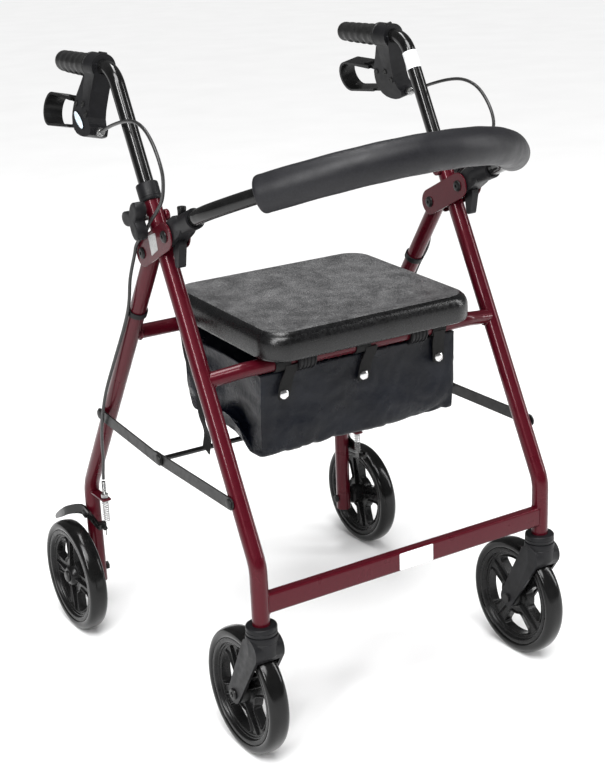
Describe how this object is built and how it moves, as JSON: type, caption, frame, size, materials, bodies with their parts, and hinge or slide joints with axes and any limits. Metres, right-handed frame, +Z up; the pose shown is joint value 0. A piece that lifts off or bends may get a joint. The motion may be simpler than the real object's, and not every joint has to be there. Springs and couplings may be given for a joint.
{
  "type": "rollator walker",
  "caption": "Folding rollator walker with swivel front casters, padded seat over a bag, curved backrest and height-adjustable handles with loop brakes.",
  "frame": {"origin": "on the floor, below the middle of the bounding box", "axes": "+Z up; -Y is the way the walker rolls, casters first; +X is the side of the user's left hand"},
  "size_m": [0.627, 0.7585, 0.9697],
  "materials": {
    "burgundy_paint": "gloss metallic",
    "black_gloss_paint": "gloss",
    "black_plastic": "satin",
    "foam": "matt closed-cell foam",
    "nylon": "woven nylon",
    "tyre_rubber": "matt",
    "zinc": "zinc plated",
    "dark_steel": "satin",
    "cable_sheath": "satin"
  },
  "bodies": {
    "front_frame": {"front_leg_left": "burgundy_paint", "front_leg_right": "burgundy_paint", "front_crossbar": "burgundy_paint", "seat_front_tube": "burgundy_paint", "bracket_outer_left": "burgundy_paint", "bracket_outer_right": "burgundy_paint", "bracket_inner_left": "burgundy_paint", "bracket_inner_right": "burgundy_paint", "leg_collar_left": "black_plastic", "leg_collar_right": "black_plastic", "fold_bolt_left": "dark_steel", "fold_bolt_right": "dark_steel", "backrest_bolt_left": "dark_steel", "backrest_bolt_right": "dark_steel", "stem_socket_left": "black_plastic", "stem_socket_right": "black_plastic", "bag": "nylon", "brake_cable_left": "cable_sheath", "brake_cable_right": "cable_sheath"},
    "rear_frame": {"rear_leg_left": "burgundy_paint", "rear_leg_right": "burgundy_paint", "seat_rear_tube": "burgundy_paint", "rear_axle_left": "zinc", "rear_axle_right": "zinc"},
    "spreader_front": {"front_link_left": "dark_steel", "front_link_right": "dark_steel", "cross_rod": "black_gloss_paint"},
    "spreader_rear": {"rear_link_left": "dark_steel", "rear_link_right": "dark_steel"},
    "seat": {"seat_pad": "black_plastic"},
    "backrest": {"backrest_tube": "black_gloss_paint", "backrest_pad": "foam", "backrest_holder_left": "black_plastic", "backrest_holder_right": "black_plastic"},
    "release_button_left": {"release_button_left": "black_plastic"},
    "handle_left": {"handle_tube_left": "black_gloss_paint", "grip_left": "foam", "brake_housing_left": "black_plastic"},
    "brake_lever_left": {"brake_lever_left": "black_plastic"},
    "brake_arm_left": {"brake_arm_left": "black_gloss_paint"},
    "height_knob_left": {"height_knob_left": "black_plastic"},
    "caster_left": {"caster_fork_left": "black_plastic", "caster_axle_left": "zinc"},
    "front_wheel_left": {"tyre_front_left": "tyre_rubber", "wheel_front_left": "black_plastic"},
    "rear_wheel_left": {"tyre_rear_left": "tyre_rubber", "wheel_rear_left": "black_plastic"},
    "release_button_right": {"release_button_right": "black_plastic"},
    "handle_right": {"handle_tube_right": "black_gloss_paint", "grip_right": "foam", "brake_housing_right": "black_plastic"},
    "brake_lever_right": {"brake_lever_right": "black_plastic"},
    "brake_arm_right": {"brake_arm_right": "black_gloss_paint"},
    "height_knob_right": {"height_knob_right": "black_plastic"},
    "caster_right": {"caster_fork_right": "black_plastic", "caster_axle_right": "zinc"},
    "front_wheel_right": {"tyre_front_right": "tyre_rubber", "wheel_front_right": "black_plastic"},
    "rear_wheel_right": {"tyre_rear_right": "tyre_rubber", "wheel_rear_right": "black_plastic"}
  },
  "joints": [
    {"name": "fold", "type": "hinge", "parent": "front_frame", "child": "rear_frame", "pos_m": [0, -0.01655, 0.7042], "axis": [-1, 0, 0], "range_deg": [0, 33], "deforming": ["bag", "brake_cable_left", "brake_cable_right"]},
    {"name": "spreader_front_pivot", "type": "hinge", "parent": "front_frame", "child": "spreader_front", "pos_m": [0, -0.2268, 0.3913], "axis": [1, 0, 0], "range_deg": [0, 44.81]},
    {"name": "spreader_rear_pivot", "type": "hinge", "parent": "rear_frame", "child": "spreader_rear", "pos_m": [0, 0.1773, 0.4088], "axis": [-1, 0, 0], "range_deg": [0, 42.04]},
    {"name": "seat_hinge", "type": "hinge", "parent": "front_frame", "child": "seat", "pos_m": [0, -0.15855, 0.551], "axis": [1, 0, 0], "range_deg": [0, 80]},
    {"name": "backrest_hinge", "type": "hinge", "parent": "front_frame", "child": "backrest", "pos_m": [0, -0.08775, 0.7395], "axis": [-1, 0, 0], "range_deg": [0, 75]},
    {"name": "release_button_travel_left", "type": "slide", "parent": "backrest", "child": "release_button_left", "axis": [0, 0, -1], "range_m": [0, 0.004], "stiffness_N_per_m": 400, "springref_m": -0.001},
    {"name": "handle_height_left", "type": "slide", "parent": "front_frame", "child": "handle_left", "axis": [0, 0.4613, 0.8872], "range_m": [-0.1, 0.0127]},
    {"name": "brake_lever_pull_left", "type": "hinge", "parent": "handle_left", "child": "brake_lever_left", "pos_m": [0.26519, 0.1417, 0.89517], "axis": [0.9744, 0, 0.225], "range_deg": [0, 13], "stiffness_Nm_per_rad": 0.8, "springref_deg": -11.46},
    {"name": "brake_arm_swing_left", "type": "hinge", "parent": "rear_frame", "child": "brake_arm_left", "pos_m": [0.2523, 0.28395, 0.2017], "axis": [-1, 0, 0], "range_deg": [0, 5.4]},
    {"name": "height_knob_turn_left", "type": "hinge", "parent": "front_frame", "child": "height_knob_left", "pos_m": [0.2723, -0.0366, 0.757], "axis": [1, 0, 0], "continuous": true},
    {"name": "caster_swivel_left", "type": "hinge", "parent": "front_frame", "child": "caster_left", "pos_m": [0.2523, -0.27, 0.2], "axis": [0, 0, 1], "continuous": true},
    {"name": "front_wheel_spin_left", "type": "hinge", "parent": "caster_left", "child": "front_wheel_left", "pos_m": [0.2523, -0.22055, 0.09525], "axis": [1, 0, 0], "continuous": true},
    {"name": "rear_wheel_spin_left", "type": "hinge", "parent": "rear_frame", "child": "rear_wheel_left", "pos_m": [0.294, 0.28395, 0.09525], "axis": [1, 0, 0], "continuous": true},
    {"name": "release_button_travel_right", "type": "slide", "parent": "backrest", "child": "release_button_right", "axis": [0, 0, -1], "range_m": [0, 0.004], "stiffness_N_per_m": 400, "springref_m": -0.001},
    {"name": "handle_height_right", "type": "slide", "parent": "front_frame", "child": "handle_right", "axis": [0, 0.4613, 0.8872], "range_m": [-0.1, 0.0127]},
    {"name": "brake_lever_pull_right", "type": "hinge", "parent": "handle_right", "child": "brake_lever_right", "pos_m": [-0.26519, 0.1417, 0.89517], "axis": [0.9744, 0, -0.225], "range_deg": [0, 13], "stiffness_Nm_per_rad": 0.8, "springref_deg": -11.46},
    {"name": "brake_arm_swing_right", "type": "hinge", "parent": "rear_frame", "child": "brake_arm_right", "pos_m": [-0.2523, 0.28395, 0.2017], "axis": [-1, 0, 0], "range_deg": [0, 5.4]},
    {"name": "height_knob_turn_right", "type": "hinge", "parent": "front_frame", "child": "height_knob_right", "pos_m": [-0.2723, -0.0366, 0.757], "axis": [1, 0, 0], "continuous": true},
    {"name": "caster_swivel_right", "type": "hinge", "parent": "front_frame", "child": "caster_right", "pos_m": [-0.2523, -0.27, 0.2], "axis": [0, 0, 1], "continuous": true},
    {"name": "front_wheel_spin_right", "type": "hinge", "parent": "caster_right", "child": "front_wheel_right", "pos_m": [-0.2523, -0.22055, 0.09525], "axis": [1, 0, 0], "continuous": true},
    {"name": "rear_wheel_spin_right", "type": "hinge", "parent": "rear_frame", "child": "rear_wheel_right", "pos_m": [-0.294, 0.28395, 0.09525], "axis": [1, 0, 0], "continuous": true}
  ],
  "couplings": [
    {"joint": "spreader_front_pivot", "follows": "fold", "ratio": 1.3579},
    {"joint": "spreader_rear_pivot", "follows": "fold", "ratio": 1.2739},
    {"joint": "brake_arm_swing_left", "follows": "brake_lever_pull_left", "ratio": 0.41538},
    {"joint": "brake_arm_swing_right", "follows": "brake_lever_pull_right", "ratio": 0.41538}
  ]
}
